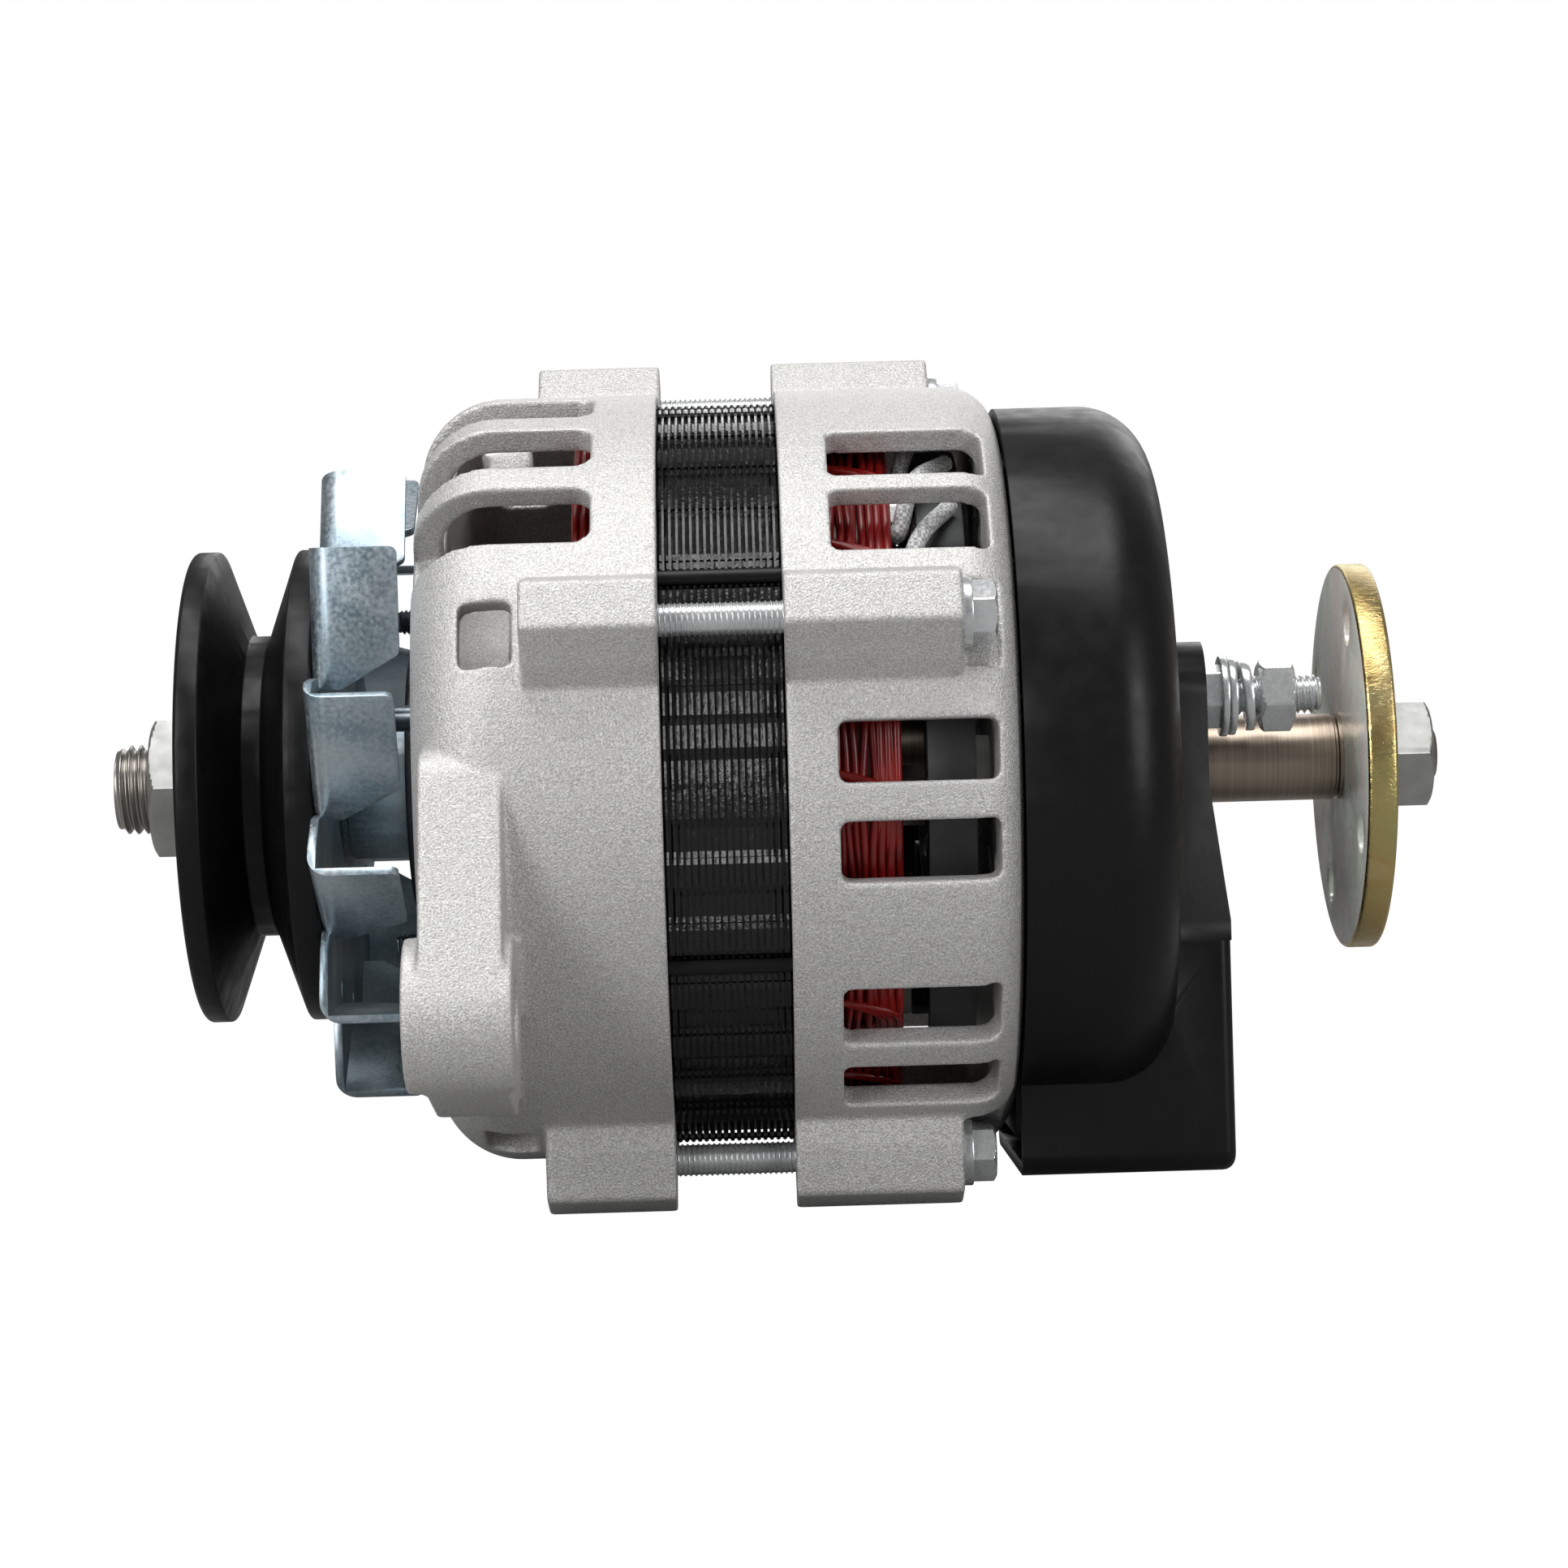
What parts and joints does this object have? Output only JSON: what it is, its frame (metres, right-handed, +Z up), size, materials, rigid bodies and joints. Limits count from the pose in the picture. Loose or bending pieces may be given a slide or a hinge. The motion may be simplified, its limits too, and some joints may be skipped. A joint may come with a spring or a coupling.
{
  "type": "generator alternator head",
  "caption": "Belt-driven alternator head with ventilated cast brackets, exposed laminated stator, V-pulley with fan, black rear cover, output stud and a round drive flange.",
  "frame": {"origin": "centre of the drive flange's outer face, on the shaft axis", "axes": "+X along the shaft, from the belt pulley towards the drive flange; +Z up; -Y is the side that carries the pivot ear and the output stud"},
  "size_m": [0.2049, 0.1415, 0.1318],
  "materials": {
    "cast_aluminium": "sand-blasted casting",
    "black_laminations": "black lacquer, satin",
    "enamelled_wire": "red enamel, glossy",
    "field_wire": "enamel",
    "zinc_steel": "bright zinc plate",
    "bearing_steel": "ground",
    "dark_screw_steel": "dark plated",
    "dark_aluminium": "dark grey",
    "diode_metal": "satin",
    "white_plastic": "matte",
    "copper": "plain",
    "black_plastic": "matte",
    "carbon": "matte",
    "cover_black": "satin black",
    "glass_braid": "braided sleeve",
    "turned_steel": "turned, brownish",
    "bright_steel": "bright",
    "pulley_black": "satin black",
    "zinc_sheet": "bluish zinc plate",
    "dark_steel": "blackened",
    "pole_iron": "forged, lacquered",
    "fan_steel": "grey sheet",
    "yellow_zinc": "yellow chromate over zinc"
  },
  "bodies": {
    "housing": {"front_bracket": "cast_aluminium", "rear_bracket": "cast_aluminium", "stator_core": "black_laminations", "stator_winding": "enamelled_wire", "through_bolts": "zinc_steel", "through_bolt_washers": "zinc_steel", "front_bearing_outer_ring": "bearing_steel", "front_bearing_balls": "bearing_steel", "rear_bearing_outer_ring": "bearing_steel", "rear_bearing_balls": "bearing_steel", "bearing_retainer": "zinc_steel", "retainer_screws": "dark_screw_steel", "rectifier_heat_sink": "dark_aluminium", "rectifier_diodes": "diode_metal", "rectifier_insulators": "white_plastic", "rectifier_bolts": "zinc_steel", "output_link_bolt": "zinc_steel", "output_link_nut": "zinc_steel", "output_busbar": "copper", "brush_holder": "black_plastic", "brushes": "carbon", "voltage_regulator": "dark_aluminium", "regulator_screws": "zinc_steel", "rear_cover": "cover_black", "cover_screws": "zinc_steel", "terminal_stud": "zinc_steel", "terminal_base_nut": "zinc_steel", "terminal_washers": "zinc_steel", "terminal_spring_washer": "zinc_steel", "terminal_nut": "zinc_steel", "stator_leads": "glass_braid"},
    "rotor": {"shaft": "turned_steel", "front_nut": "bright_steel", "belt_pulley": "pulley_black", "pulley_key": "turned_steel", "cooling_fan": "zinc_sheet", "spacer_collar": "zinc_sheet", "dust_disc": "dark_steel", "front_bearing_inner_ring": "bearing_steel", "front_claw_pole": "pole_iron", "field_coil": "field_wire", "coil_bobbin": "black_plastic", "rear_claw_pole": "pole_iron", "internal_fan": "fan_steel", "rear_bearing_inner_ring": "bearing_steel", "slip_ring_hub": "black_plastic", "slip_rings": "copper", "drive_flange": "yellow_zinc", "rear_nut": "bright_steel"}
  },
  "joints": [
    {"name": "rotor_spin", "type": "hinge", "parent": "housing", "child": "rotor", "pos_m": [0, 0, 0], "axis": [1, 0, 0], "continuous": true}
  ]
}
